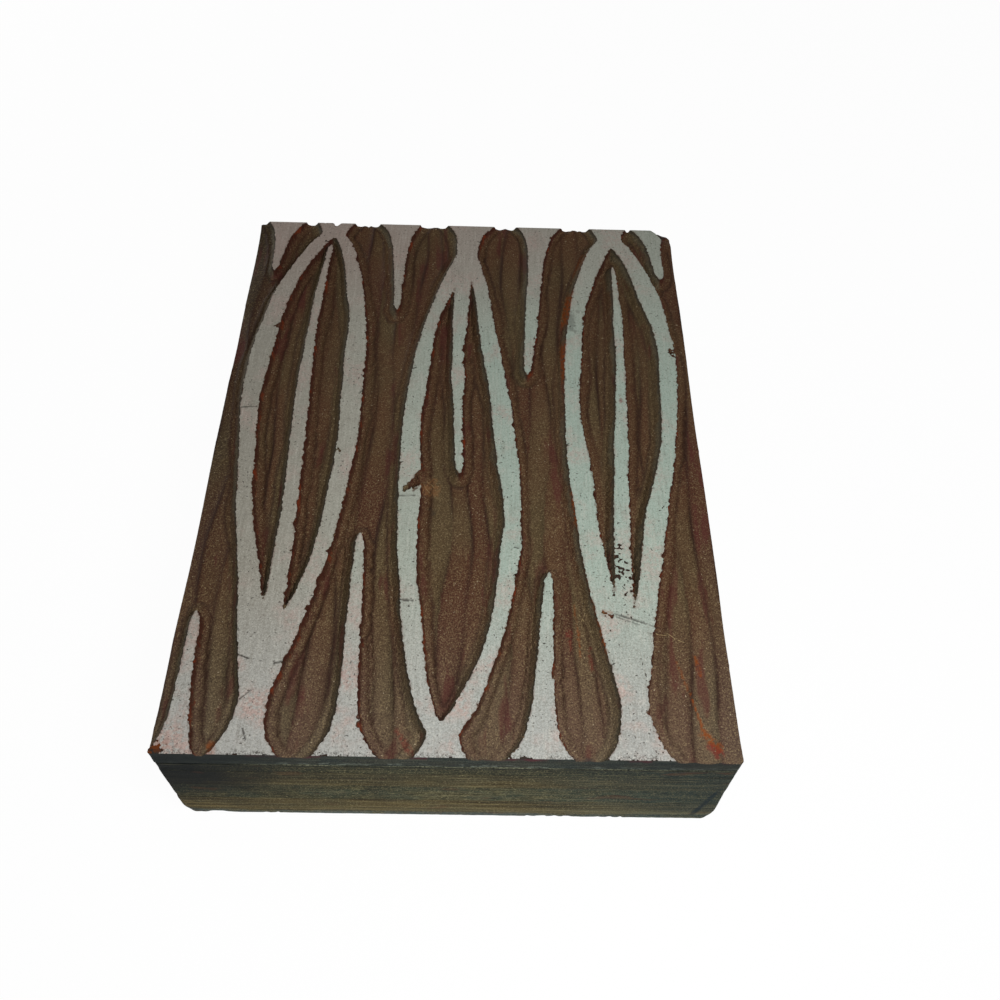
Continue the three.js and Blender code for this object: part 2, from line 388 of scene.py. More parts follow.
leafShares = [
    {"node": "ground_left_leaf", "growsBack": True, "base": -0.345, "tip": -0.315, "half": 0.127,
     "bow": 0.012, "widest": 0.60, "midrib": 0.94, "phase": 0.4},
    {"node": "ground_middle_leaf", "growsBack": False, "base": 0.012, "tip": -0.012, "half": 0.122,
     "bow": -0.013, "widest": 0.57, "midrib": 0.56, "phase": 2.1},
    {"node": "ground_right_leaf", "growsBack": True, "base": 0.325, "tip": 0.345, "half": 0.122,
     "bow": -0.0105, "widest": 0.63, "midrib": 0.90, "phase": 4.0},
]
shootShares = [
    {"atBack": False, "place": -0.173, "height": 0.33, "lean": -0.02, "size": 1},
    {"atBack": False, "place": 0.157, "height": 0.27, "lean": 0.06, "size": 1},
    {"atBack": True, "place": -0.157, "height": 0.22, "lean": 0.02, "size": 0.95},
    {"atBack": True, "place": 0.177, "height": 0.36, "lean": -0.07, "size": 1.05},
    {"atBack": True, "place": 0.446, "height": 0.13, "lean": 0.08, "size": 0.85},
    {"atBack": True, "place": -0.435, "height": 0.13, "lean": -0.06, "size": 0.85},
    {"atBack": False, "place": -0.458, "height": 0.2, "lean": -0.02, "size": 0.78},
]
filmNodes = [leaf["node"] for leaf in leafShares]
filmNodes += [f"ground_shoot_{i + 1}" for i in range(len(shootShares))]
alongEnd = halfLength + relief["overrun"]
placesAlong = np.linspace(-alongEnd, alongEnd, relief["places"])  # the strokes are known here


def leafShape(leaf, y):
    # axis and half width of a leaf: a leaning, bowed line, and a stem that swells into a blade
    # as a power of a skewed sine and flares at both edges of the block
    along = halfLength + y if leaf["growsBack"] else halfLength - y
    lean = (leaf["tip"] - leaf["base"]) * along / blockLength
    axis = blockWidth * (leaf["base"] + lean + swing((leaf["bow"], blockLength), along, 0))
    bladeLength = blockLength - relief["stalkLength"] - relief["tipGap"]
    place = np.clip((along - relief["stalkLength"]) / bladeLength, 0, 1)
    skew = math.log(0.5) / math.log(leaf["widest"])
    swelling = positive(np.sin(np.pi * place ** skew)) ** relief["bladeFullness"]
    stem = relief["stemWidth"] / 2
    flares = fading(relief["footFlare"], along), fading(relief["tipFlare"], blockLength - along)
    return along, axis, stem + (leaf["half"] * blockWidth - stem) * swelling + sum(flares)


def strokeAt(along, phase):  # the width of a stroke, which swells and trembles
    swell = swing(relief["strokeSwing"], along, phase)
    return relief["strokeWidth"] + swell + swing(relief["strokeTremor"], along, 2 * phase)


def strip(left, right, beyond):
    # a stroke between two curves x(y), with the cosines of their slopes and the distance past
    # its pointed end, all worked out at the places along the block. The end is a half ellipse,
    # and towards it the cosines grow to 1.
    centre = (left + right) / 2
    rounding = np.sqrt(np.clip(-beyond / relief["tipRounding"], 0, 1))
    towardsEnd = np.clip(1 + beyond / relief["tipBlend"], 0, 1)
    left, right = centre + (left - centre) * rounding, centre + (right - centre) * rounding
    cosines = [1 / np.hypot(1, np.gradient(side, placesAlong)) for side in (left, right)]
    cosines = np.maximum(cosines, towardsEnd)
    return left, right, *cosines, beyond + np.zeros_like(left)


def softened(curve):  # a curve along the block, averaged over 3 mm so that its corners turn gently
    bell = np.hanning(relief["softening"])[1:-1]
    return np.convolve(np.pad(curve, len(bell) // 2, "edge"), bell / bell.sum(), "valid")


def leafStrips(leaf):  # the two outlines and the midrib
    along, axis, half = leafShape(leaf, placesAlong)
    half = softened(half)
    left, right, inner = axis - half, axis + half, relief["innerShare"] * half
    midribEnd = leaf["midrib"] * blockLength
    remaining = positive(1 - along / midribEnd) ** relief["midribTaper"]
    rib = (relief["midribWidth"] - relief["pointWidth"]) / 2 * remaining + relief["pointWidth"] / 2
    leftInner = np.minimum(left + strokeAt(along, leaf["phase"]), axis + inner)
    rightInner = np.maximum(right - strokeAt(along, leaf["phase"] + 1), axis - inner)
    return [strip(left, leftInner, relief["noEnd"]), strip(rightInner, right, relief["noEnd"]),
            strip(axis - rib, axis + rib, along - midribEnd)]


def shootStrips(shoot):  # a slim stroke with a flared foot, whose sides draw together as a power
    fromEdge = halfLength - placesAlong if shoot["atBack"] else halfLength + placesAlong
    height = shoot["height"] * blockLength
    centre = shoot["place"] * blockWidth + shoot["lean"] * fromEdge
    stem = (shoot["size"] * relief["shootWidth"] - relief["pointWidth"]) / 2
    taper = positive(1 - fromEdge / height) ** relief["shootTaper"]
    flare = shoot["size"] * fading(relief["shootFlare"], fromEdge)
    half = stem * taper + relief["pointWidth"] / 2 + flare
    return [strip(centre - half, centre + half, fromEdge - height)]


motifStrips = [leafStrips(leaf) for leaf in leafShares]
motifStrips += [shootStrips(shoot) for shoot in shootShares]


def motifDistances(x, y):
    # signed distance to every motif, negative inside: the largest of the distances past its
    # sides and end, rounded about the end, and a soft minimum where strokes meet, which
    # rounds their crotches
    melt = relief["crotchRounding"]
    distances = []
    for strips in motifStrips:
        parts = []
        for curves in strips:
            curves = [np.interp(y, placesAlong, curve) for curve in curves]
            left, right, cosLeft, cosRight, beyond = curves
            aside = np.maximum((left - x) * cosLeft, (x - right) * cosRight)
            past = np.hypot(positive(aside), beyond)
            parts.append(np.where(beyond > 0, past, np.maximum(aside, beyond)))
        nearest = np.minimum.reduce(parts)
        spread = sum(np.exp((nearest - part) / melt) for part in parts)
        distances.append(nearest - melt * np.log(spread))
    return np.array(distances)


# Hand work on the edges of the strokes, and damage

handWork = {
    "wander": [(0.17, 6.5, 1), (0.06, 1.7, 2)], "fine": [(0.06, 0.19, 45)], "sideReach": 0.3,
    "leftTeeth": 0.09, "rightTeeth": 0.15, "teethSize": 0.36, "teethAcross": 1.2,
    "nick": 1.1, "nickSize": 1.2, "nickRarity": 0.62, "nickAcross": 0.7,
    "chipAcross": 3.4, "chipAlong": 6.4, "chipRough": [(0.35, 1.1, 31)],
    "chipDrop": 0.45, "chipFall": 0.55, "tornDepth": 0.9, "tornSlope": 1.6, "tornReach": 0.6,
    "tornRough": [(0.30, 0.8, 37), (0.25, 0.3, 38)],
    "brokenRough": [(0.12, 0.5, 13), (0.1, 1.4, 14)],
    "rimWear": (0.13, 0.22), "uneven": 0.02, "unevenSize": 13,
}
tornSpots = [  # start, end and radius of the pieces broken out of the strokes
    ((-5.2, -6.6), (-6.5, -8.2), 0.80), ((-6.4, -8.3), (-7.7, -9.2), 0.42),
    ((8.9, 14.5), (9.3, 14.9), 0.25), ((-31.8, 24.0), (-31.6, 24.4), 0.25),
    ((21.3, -29.8), (22.2, -30.3), 0.22), ((-18.6, -2.0), (-18.4, -2.2), 0.25),
    ((35.2, 20.2), (35.4, 19.0), 0.2),
]


def lineDistance(x, y, start, end):  # distance from the line between two points
    run = np.subtract(end, start)
    share = np.clip(((x - start[0]) * run[0] + (y - start[1]) * run[1]) / (run @ run), 0, 1)
    return np.hypot(x - start[0] - share * run[0], y - start[1] - share * run[1])


def cornerChip(x, y):  # distance past the line along which the back right corner broke off
    across, along = handWork["chipAcross"], handWork["chipAlong"]
    past = (x - halfWidth + across) / across + (y - halfLength + along) / along - 1
    past = past * across * along / math.hypot(across, along)
    return past + noises(x, y, handWork["chipRough"])


def tornPast(x, y):  # distance inside the nearest broken spot, less than zero outside them
    ragged = noises(x, y, handWork["tornRough"])
    depths = [radius - lineDistance(x, y, start, end) for start, end, radius in tornSpots]
    depths = np.maximum.reduce(depths)
    return depths + np.where(depths > -handWork["tornReach"], ragged, 0)


def cutDistances(x, y):
    # distance from the edge of every motif, negative on it, with the hand's wander, the teeth
    # of the cutter, nicks and torn spots. The cutter left a smooth edge on the left of each
    # stroke and a ragged one on its right.
    hand = handWork
    motifs = motifDistances(x, y)
    aside = motifDistances(x + hand["sideReach"], y)
    onRight = eased(0.5 + 0.6 * (aside.min(axis=0) - motifs.min(axis=0)) / hand["sideReach"])
    wander = noises(x, y, hand["wander"])
    height = hand["leftTeeth"] + (hand["rightTeeth"] - hand["leftTeeth"]) * onRight
    teeth = height * softNoise(x / hand["teethAcross"], y, hand["teethSize"], 3)
    teeth = teeth + noises(x, y, hand["fine"])
    nicks = softNoise(x * hand["nickAcross"], y, hand["nickSize"], 4) - hand["nickRarity"]
    nicks = positive(nicks) * hand["nick"] * onRight
    return np.maximum(motifs + wander + teeth + nicks, tornPast(x, y)), onRight


def cutDistance(x, y):  # distance from the edge of the nearest motif
    return cutDistances(x, y)[0].min(axis=0)


def faceDip(x, y):
    # how far the uncut face lies under its plane: worn off at the rim, and slightly uneven
    uneven = handWork["uneven"] * (1 + softNoise(x, y, handWork["unevenSize"], 5)) / 2
    return fading(handWork["rimWear"], edgeDistance(x, y)) + uneven


# Cleared ground: flutes of the gouge

gouge = {
    "wander": [(0.5, 9, 6)], "mergeSize": 5.5, "swingShift": 1.9, "rounds": 4, "chances": 64,
    "stopLength": (15, 34), "stopStart": (0, 40), "stop": (0.20, 1.3), "stopCurve": 1.1,
    "chatter": (0.02, 0.62), "chatterShake": [(3, 6, 10)], "grain": [(0.03, 0.55, 11)],
    "rimDrop": (0.14, 0.6), "seed": 8,
    "grooveWidth": 1.6, "grooveSwing": [(0.25, 7, 9)], "grooveRidge": 0.34, "grooveDip": 0.05,
    "lineWidth": 0.26, "lineSize": 3.2, "toneStep": 41.3, "toneLength": 15, "fineTone": 4,
    "grooveTone": 8, "wallReach": 0.8,
}


def groundShape(x, y, cut, onRight):
    # height under the face, ridge lines and tones at each point, the tones with a painted highlight
    # down the middle of each flute. Flutes lie side by side with a parabola across each one, and along
    # a stroke they give way to one groove that follows it.
    width = relief["fluteWidth"]
    count = math.ceil(blockWidth / width) + 2
    swayed = x + noises(x, y, gouge["wander"])
    flute = (swayed + count * width / 2) / width
    for _ in range(gouge["rounds"]):  # the sway depends on the flute that it moves
        sway = swing(relief["fluteSway"], y, flute * relief["fluteShift"])
        flute = (swayed + count * width / 2 - sway) / width
    number = np.floor(flute)
    scoop = (2 * (flute - number) - 1) ** 2
    deeper = swing(relief["depthSwing"], y, number * gouge["swingShift"])
    merge = eased(0.85 + 0.7 * softNoise(x, y * 0.35, gouge["mergeSize"], 7))
    chance = np.random.default_rng(gouge["seed"])
    which = number.astype(int) % gouge["chances"]
    lengths = chance.uniform(*gouge["stopLength"], gouge["chances"])[which]
    starts = chance.uniform(*gouge["stopStart"], gouge["chances"])[which]
    run = (y + starts + gouge["stopCurve"] * (1 - scoop)) % lengths
    stop = fading(gouge["stop"], run) * (1 - scoop)
    parallel = relief["fluteRidge"] * merge * scoop ** 1.4 + (1 - scoop) * deeper + stop

    groove = gouge["grooveWidth"] * (1 + noises(x, y, gouge["grooveSwing"]))
    follow = eased((1.25 * groove - cut) / (0.4 * groove))
    beside = ((cut - groove / 2) / (groove / 2)) ** 2
    following = gouge["grooveRidge"] * np.clip(beside, 0, 1.1) - gouge["grooveDip"]
    height = -relief["clearedDepth"] + parallel * (1 - follow) + following * follow
    height += fading(relief["frontRise"], positive(halfLength + y))
    height += fading(relief["backRise"], positive(halfLength - y))
    height += swing(gouge["chatter"], y + 0.3 * scoop, noises(x, y, gouge["chatterShake"]))
    height += noises(x, y, gouge["grain"]) - fading(gouge["rimDrop"], edgeDistance(x, y))

    broken = 0.35 + 0.65 * eased(0.65 + 0.9 * softNoise(x, y * 0.4, gouge["lineSize"], 12))
    fromCrest = (1 - np.sqrt(scoop)) * width / 2
    crest = np.exp(-(fromCrest / gouge["lineWidth"]) ** 2) * merge * (1 - follow)
    besideCrest = np.exp(-((cut - groove) / gouge["lineWidth"]) ** 2) * follow
    ridge = np.clip((crest + besideCrest) * broken, 0, 1)

    tone = softNoise(number * gouge["toneStep"], y, gouge["toneLength"], 41)
    tone = tone + 0.35 * softNoise(x, y * 0.5, gouge["fineTone"], 42)
    olive = np.clip(1.5 * tone, 0, 1) * (1 - follow)
    maroon = np.clip(-1.6 * tone - 0.1, 0, 1) * (1 - follow)
    grooveTone = eased(0.75 + 0.8 * softNoise(x, y * 0.5, gouge["grooveTone"], 43))
    olive = np.maximum(olive, (1 - onRight) * follow * grooveTone)
    besideWall = onRight * np.exp(-cut / gouge["wallReach"])
    maroon = np.maximum(maroon, besideWall * grooveTone * 0.8)
    # light is a painted highlight, lighter down the middle of each flute and of the groove beside a stroke
    light = (1 - scoop) * (1 - follow) + 0.8 * follow * np.clip(1 - beside, 0, 1)
    return height, ridge, columns(olive, maroon, light, onRight)


def sheetHeight(x, y, cut, onRight):
    # top of the linoleum in millimetres above the underside, and its ridge lines and tones
    ground, ridge, tones = groundShape(x, y, cut, onRight)
    slope = relief["leftSlope"] + (relief["rightSlope"] - relief["leftSlope"]) * onRight
    standing = -faceDip(x, y)
    walls = np.maximum(ground, standing - slope * positive(cut))
    height = np.where(cut > 0, walls, standing)
    hand = handWork
    rough = noises(x, y, hand["brokenRough"])
    chip = cornerChip(x, y)
    chipped = -hand["chipDrop"] - hand["chipFall"] * chip + rough
    height = np.where(chip > 0, np.minimum(height, chipped), height)
    torn = tornPast(x, y)
    tornHeight = np.maximum(-hand["tornDepth"], -hand["tornSlope"] * torn) + rough
    height = np.where(torn > 0, np.minimum(height, tornHeight), height)
    return sheetTop + height, np.where((chip > 0) | (torn > 0) | (cut <= 0), 0, ridge), tones


# Paint and scratches left on the block

paintMarks = {  # strength, start, end, half width and raggedness of each streak
    "orange": [
        (0.45, (30.8, -35.8), (32.2, -41.0), 0.13, 0.9), (0.75, (32.2, -41.0), (33.6, -46.4), 0.15, 0.7),
        (0.65, (33.5, -35.6), (34.0, -38.6), 0.16, 0.9), (0.70, (33.7, -46.6), (34.9, -48.6), 0.45, 1.0),
        (0.50, (-37.8, -50.0), (-36.4, -49.9), 0.8, 0.6), (0.60, (-30.0, -50.3), (-30.0, -49.4), 0.45, 0.9),
        (0.55, (17.2, -28.0), (17.8, -36.0), 0.12, 0.9), (0.60, (21.0, -29.4), (22.2, -29.8), 0.42, 0.9),
        (0.26, (-5.0, -7.4), (-3.4, -9.6), 0.7, 1.7),
    ],
    "red": [
        (0.65, (34.2, -48.4), (34.9, -49.6), 0.42, 1.0), (0.50, (19.0, -34.6), (19.2, -37.8), 0.3, 0.9),
        (0.50, (16.2, -32.4), (16.4, -34.6), 0.3, 0.9), (1.00, (26.0, 9.9), (26.1, 9.0), 0.35, 0.7),
        (0.45, (-6.8, -47.0), (-4.4, -50.4), 0.34, 0.9),
    ],
    "pale": [
        (0.90, (-6.6, -9.6), (-6.2, -9.2), 0.25, 0.8), (0.12, (-5.0, -7.2), (-2.8, -10.4), 0.8, 1.6),
    ],
    "dark": [
        (0.70, (-3.9, -12.0), (-3.3, -12.8), 0.34, 0.9), (0.42, (18.6, 28.4), (18.9, 25.6), 0.9, 1.4),
        (0.85, (-9.4, -10.6), (-6.2, -10.5), 0.1, 0.35), (0.80, (-34.9, 6.0), (-32.4, 6.2), 0.09, 0.5),
        (0.75, (22.6, -29.9), (28.6, -32.0), 0.13, 0.8), (0.60, (22.8, -30.4), (26.0, -31.6), 0.09, 0.8),
        (0.95, (-28.7, -37.0), (-27.1, -37.6), 0.11, 0.6), (0.80, (-25.6, -38.0), (-25.0, -37.8), 0.1, 0.9),
        (0.80, (-23.5, -38.2), (-22.4, -37.9), 0.11, 0.9), (0.85, (-27.4, -43.4), (-26.0, -42.0), 0.11, 0.6),
        (0.85, (-26.4, -47.4), (-25.8, -48.9), 0.11, 0.6), (0.80, (-7.5, -28.2), (-5.4, -28.4), 0.1, 1.1),
    ],
}
scratches = [  # start, end, half width and strength of the pale hair-thin lines on the linoleum
    ((27.8, -31.8), (30.2, -32.6), 0.05, 0.55), ((29.6, -32.0), (32.6, -33.6), 0.05, 0.50),
    ((17.7, -29.1), (18.6, -30.6), 0.05, 0.50), ((18.8, -29.0), (17.9, -30.4), 0.04, 0.50),
    ((-5.5, -6.9), (-4.0, -9.2), 0.05, 0.40), ((-4.8, -6.6), (-3.4, -8.2), 0.05, 0.35),
]
streakEdge = [(1, 1.7, 15), (0.7, 0.4, 16)]  # noises of a streak's broken edge
hairlines = {  # short dark cracks that start at the edges of the leaves
    "count": 18, "length": (0.25, 1.1), "half": (0.04, 0.09), "turn": 0.6, "ragged": 0.4,
    "frontGap": 2, "backGap": 4, "seed": 29,
}
wallPaint = {  # orange on the cut wall left of the right leaf
    "leaf": 2, "width": (0.32, 1.35), "wideFrom": 8, "wideReach": 22, "edge": 0.25, "start": 0.1,
    "from": -38, "to": 46, "fade": 4, "gapSize": 6, "strength": 0.85,
}


def streak(x, y, start, end, half, ragged):
    # 1 on a line between two points, fading over its half width, with a broken edge
    away = lineDistance(x, y, start, end)
    amount = np.zeros_like(away)
    near = away < 3 * half
    x, y, away = x[near], y[near], away[near]
    away = away + half * ragged * noises(x, y, streakEdge)
    amount[near] = eased(1.5 - away / half)
    return amount


def crackLines():  # start, end, half width and raggedness of the hairlines, drawn at random
    chance = np.random.default_rng(hairlines["seed"])
    lines = []
    for _ in range(hairlines["count"]):
        leaf = leafShares[chance.integers(len(leafShares))]
        lowest, highest = -halfLength + hairlines["frontGap"], halfLength - hairlines["backGap"]
        startY = chance.uniform(lowest, highest)
        _, axis, half = leafShape(leaf, np.array(startY))
        side = chance.choice((-1, 1))
        startX = float(axis + side * half)
        turn, length = chance.normal(0, hairlines["turn"]), chance.uniform(*hairlines["length"])
        end = (startX - side * length * math.cos(turn), startY + length * math.sin(turn))
        half = chance.uniform(*hairlines["half"])
        lines.append(((startX, startY), end, half, hairlines["ragged"]))
    return lines


def wallPaintAt(x, y):
    # a band beside the left edge of a leaf, wider towards the back, broken along its length and
    # faded at both ends
    paint = wallPaint
    _, axis, half = leafShape(leafShares[paint["leaf"]], y)
    away = axis - half - x
    narrow, wide = paint["width"]
    width = narrow + (wide - narrow) * eased((y - paint["wideFrom"]) / paint["wideReach"])
    painted = eased((width - away) / paint["edge"])
    painted = painted * eased((away + paint["start"]) / paint["start"])
    painted = painted * eased(0.75 + softNoise(x * 0, y, paint["gapSize"], 44))
    painted = painted * eased((y - paint["from"]) / paint["fade"])
    return paint["strength"] * painted * eased((paint["to"] - y) / paint["fade"])


def marksAt(x, y):  # one column for each channel of paint, with its strongest mark at each point
    marks = {channel: np.zeros(x.size) for channel in paintMarks}
    for channel, streaks in paintMarks.items():
        for strength, *line in streaks:
            marks[channel] = np.maximum(marks[channel], strength * streak(x, y, *line))
    for line in crackLines():
        marks["dark"] = np.maximum(marks["dark"], streak(x, y, *line))
    marks["orange"] = np.maximum(marks["orange"], wallPaintAt(x, y))
    return columns(*marks.values())


# A grid of triangles whose points slide onto the line where a field is zero

sliding = {"probe": 0.02, "reach": 0.5}  # step in millimetres that finds the slope, reach in cells


def cutGrid(cell, field):
    # a grid over the block's plan. A point near the line slides to it down the field's slope, by
    # the field's value over the slope, and each cell is split along the diagonal that lies
    # closer to the line. Points of the rim keep to the rim.
    lines = [np.linspace(-half, half, round(2 * half / step) + 1)
             for half, step in zip((halfWidth, halfLength), cell)]
    x, y = np.meshgrid(*lines, indexing="ij")
    cellX, cellY = x[1, 0] - x[0, 0], y[0, 1] - y[0, 0]
    x, y = roundedPlan(x, y)
    value = field(x, y)
    slopeX = (field(x + sliding["probe"], y) - value) / sliding["probe"] * cellX
    slopeY = (field(x, y + sliding["probe"]) - value) / sliding["probe"] * cellY
    slopeX[[0, -1], :] = 0
    slopeY[:, [0, -1]] = 0
    share = -value / np.maximum(slopeX ** 2 + slopeY ** 2, tiny)
    near = np.hypot(share * slopeX, share * slopeY) < sliding["reach"]
    near &= (np.abs(x) <= halfWidth - cornerRadius) | (np.abs(y) <= halfLength - cornerRadius)
    x = x + np.where(near, share * slopeX * cellX, 0)
    y = y + np.where(near, share * slopeY * cellY, 0)
    value = np.where(near, 0.0, value)

    index = np.arange(x.size).reshape(x.shape)
    a, b, c, d = index[:-1, :-1], index[1:, :-1], index[1:, 1:], index[:-1, 1:]
    flat = np.abs(value.ravel())
    rising = (flat[a] + flat[c] <= flat[b] + flat[d])[..., None]
    first = np.where(rising, columns(a, b, c), columns(a, b, d))
    second = np.where(rising, columns(a, c, d), columns(b, c, d))
    triangles = np.concatenate([first.reshape(-1, 3), second.reshape(-1, 3)])
    return x.ravel(), y.ravel(), value.ravel(), triangles, index


def rimEdges(triangles):  # directed edges that belong to one triangle only
    edges = np.concatenate([triangles[:, [0, 1]], triangles[:, [1, 2]], triangles[:, [2, 0]]])
    key = edges.max() + 1
    return edges[~np.isin(edges[:, 0] * key + edges[:, 1], edges[:, 1] * key + edges[:, 0])]


def band(upper, lower):  # triangles that join two rings of points
    upperAfter, lowerAfter = np.roll(upper, -1), np.roll(lower, -1)
    return [columns(upper, lower, lowerAfter), columns(upper, lowerAfter, upperAfter)]


def fan(ring, centre):  # triangles that close a ring from below, around its centre
    return columns(np.roll(ring, -1), ring, np.full(len(ring), centre))


# Linoleum sheet

sheetGrid = {
    "cell": (0.255, 0.37), "sideShares": (0.012, 0.09, 0.2, 0.35, 0.5, 0.66, 0.83, 1),
    "sideWave": 0.07, "waveSize": 1.8, "brokenDepth": 0.05, "brokenCut": 2.0,
}


def makeSheet(material):
    # the carved top as a grid, a side that drops from its rim in rows, and a flat underside
    x, y, cut, triangles, index = cutGrid(sheetGrid["cell"], cutDistance)
    _, onRight = cutDistances(x, y)
    top, ridge, tones = sheetHeight(x, y, cut, onRight)
    rim = np.concatenate([index[:-1, 0], index[-1, :-1], index[:0:-1, -1], index[0, :0:-1]])
    rimX, rimY, rimZ = x[rim], y[rim], top[rim]
    normalX, normalY = planNormal(rimX, rimY)
    around = np.arctan2(rimY, rimX) * halfLength
    points, faces = [columns(x, y, top)], [triangles]
    ring = rim
    for row, share in enumerate(sheetGrid["sideShares"]):
        z = rimZ + (sheetBottom - rimZ) * share
        uneven = 0.5 + 0.5 * softNoise(around, z * 2, sheetGrid["waveSize"], 17)
        inward = sheetGrid["sideWave"] * uneven * min(1, 4 * share)
        points.append(columns(rimX - normalX * inward, rimY - normalY * inward, z))
        lower = np.arange(len(rim)) + len(x) + row * len(rim)
        faces += band(ring, lower)
        ring = lower
    rows = len(sheetGrid["sideShares"])
    points.append(np.array([[0, 0, sheetBottom]]))
    faces.append(fan(ring, len(x) + rows * len(rim)))
    points, faces = np.concatenate(points), np.concatenate(faces)
    # broken linoleum has no cut walls, so it gets the tones of open ground
    cut = np.where(tornPast(x, y) > sheetGrid["brokenDepth"], sheetGrid["brokenCut"], cut)
    blank = np.zeros((len(points) - len(x), 4))
    attributes = {
        "cut": np.concatenate([cut, np.tile(cut[rim], rows), [0]]),
        "ridge": np.append(ridge, blank[:, 0]),
        "tones": np.concatenate([tones, blank]),
        "side": (np.arange(len(points)) >= len(x)).astype(float),
        "marks": np.concatenate([marksAt(x, y), blank]),
    }
    print("linoleum sheet:", len(faces), "triangles")
    makePiece("carved_lino", points, faces, material, ["lino_sheet"], attributes)


# White ground on the strokes

filmGrid = {
    "cell": (0.135, 0.155), "flakeSize": 0.30, "flakeRarity": 0.90, "patchSize": 3.5,
    "rimWear": (0.34, 0.30), "frontWear": (0.40, 0.40), "edgeDrop": 0.015, "edgeGap": 0.02,
    "edgeFray": [(0.04, 0.3, 20)],
}
flakedSpots = [  # x, y, reach across and along, and how much of the ground came off
    (24.2, -22.6, 2.3, 6.5, 0.72), (24.6, -49.6, 3.6, 0.9, 0.30), (-27.5, -40.0, 4.0, 5.0, 0.14),
    (-8.4, -5.0, 2.2, 4.5, 0.22), (31.5, -12.0, 2.5, 7.0, 0.16), (9.2, 18.0, 1.6, 5.0, 0.18),
    (21.5, -33.0, 1.2, 4.0, 0.34), (-26.0, 45.0, 2.5, 3.0, 0.26), (5.6, 12.0, 1.5, 10.0, 0.15),
    (-37.9, -50.3, 2.0, 1.3, 1.60),
]


def filmDistance(x, y):
    # distance from the edge of the ground, with flakes missing: spots of fine noise above a
    # threshold that drops inside the worn areas and along the rim of the block
    grid = filmGrid
    patchy = np.clip(0.5 + softNoise(x, y * 0, grid["patchSize"], 46), 0, 1)
    worn = patchy * fading(grid["frontWear"], positive(halfLength + y))
    worn = worn + fading(grid["rimWear"], edgeDistance(x, y))
    for spotX, spotY, across, along, amount in flakedSpots:
        bell = np.exp(-((x - spotX) / across) ** 2 - ((y - spotY) / along) ** 2)
        worn = np.maximum(worn, amount * bell)
    size = grid["flakeSize"]
    spots = noises(x, y, [(0.65, size, 18), (0.35, size * 2.3, 19)])
    flakes = (spots - grid["flakeRarity"] + worn) * size
    edge = cutDistance(x, y) + grid["edgeGap"] + noises(x, y, grid["edgeFray"])
    return np.maximum.reduce([edge, flakes, cornerChip(x, y)])


def makeFilm(material):
    # one thin plate for each motif: the triangles of a fine grid that lie inside its edge, a
    # copy under them, and a wall between the two along the rim
    x, y, value, triangles, _ = cutGrid(filmGrid["cell"], filmDistance)
    corners = value[triangles]
    inside = triangles[(corners.max(1) <= 0) & (corners.min(1) < 0)]
    motif = motifDistances(x[inside].mean(1), y[inside].mean(1)).argmin(axis=0)
    for number, node in enumerate(filmNodes):
        kept, faces = np.unique(inside[motif == number], return_inverse=True)
        faces = faces.reshape(-1, 3)
        pointX, pointY = x[kept], y[kept]
        bottom = sheetTop - faceDip(pointX, pointY)
        rim = rimEdges(faces)
        rounded = np.zeros(len(kept))
        rounded[np.unique(rim)] = filmGrid["edgeDrop"]
        points = np.concatenate([columns(pointX, pointY, bottom + filmThickness - rounded),
                                 columns(pointX, pointY, bottom)])
        low = len(kept)
        start, end = rim.T
        walls = [columns(end, start, start + low), columns(end, start + low, end + low)]
        faces = np.concatenate([faces, faces[:, ::-1] + low, *walls])
        cut = cutDistance(pointX, pointY)
        attributes = {"cut": np.tile(cut, 2), "marks": marksAt(points[:, 0], points[:, 1])}
        name = node.replace("ground_", "white_ground_")
        makePiece(name, points, faces, material, [node], attributes)
        print(name + ":", len(faces), "triangles")


# Layers under the linoleum: thin closed slabs with worn and sawn sides

sideKinds = {
    "end": {"slot": "end_grain_ply", "recess": 0.03, "rough": 0.05},
    "long": {"slot": "long_grain_ply", "recess": 0.01, "rough": 0.04},
    "glue": {"slot": "ply_glue", "recess": 0.05, "rough": 0.02},
    "sheetGlue": {"slot": "ply_glue", "recess": 0.04, "rough": 0.03},
    "jute": {"slot": "hessian", "recess": 0.01, "rough": 0.05},
}
layers = {  # piece, kind of side and height of its rows of points
    "back_veneer": ("back_ply", "end", 0.28),
    "glue_line_1": ("glue_one", "glue", 0.1),
    "lower_crossband": ("lower_cross_ply", "long", 0.4),
    "glue_line_2": ("glue_two", "glue", 0.1),
    "core_ply": ("middle_ply", "end", 0.4),
    "glue_line_3": ("glue_three", "glue", 0.1),
    "upper_crossband": ("upper_cross_ply", "long", 0.4),
    "glue_line_4": ("glue_four", "glue", 0.1),
    "face_veneer": ("face_ply", "end", 0.33),
    "mounting_glue": ("sheet_glue", "sheetGlue", 0.1),
    "hessian_backing": ("hessian_edge", "jute", 0.09),
}
mount = {
    "sideStep": 0.36, "cornerSteps": 7, "cornerReach": 1.6, "cornerWear": 0.07, "wearSize": 2.2,
    "sawSize": 0.7, "fineSize": 0.45, "dentSize": 5.0, "dentRarity": 0.55, "dentDepth": 0.35,
    "arrisWear": 0.2, "arrisShare": 0.7, "chips": [(1, 2.6, 25), (1, 0.8, 26)],
    "chipHeight": 0.6, "chipDepth": 0.5, "chipFree": 4, "chipRarity": 0.8,
    "knockRadius": 2.0, "knockHeight": 4.2, "yarnSpacing": 1.45, "yarnWander": [(0.35, 3.1, 27)],
    "yarnShare": 0.85, "yarnDepth": 0.10, "strayLength": 1.1,
}


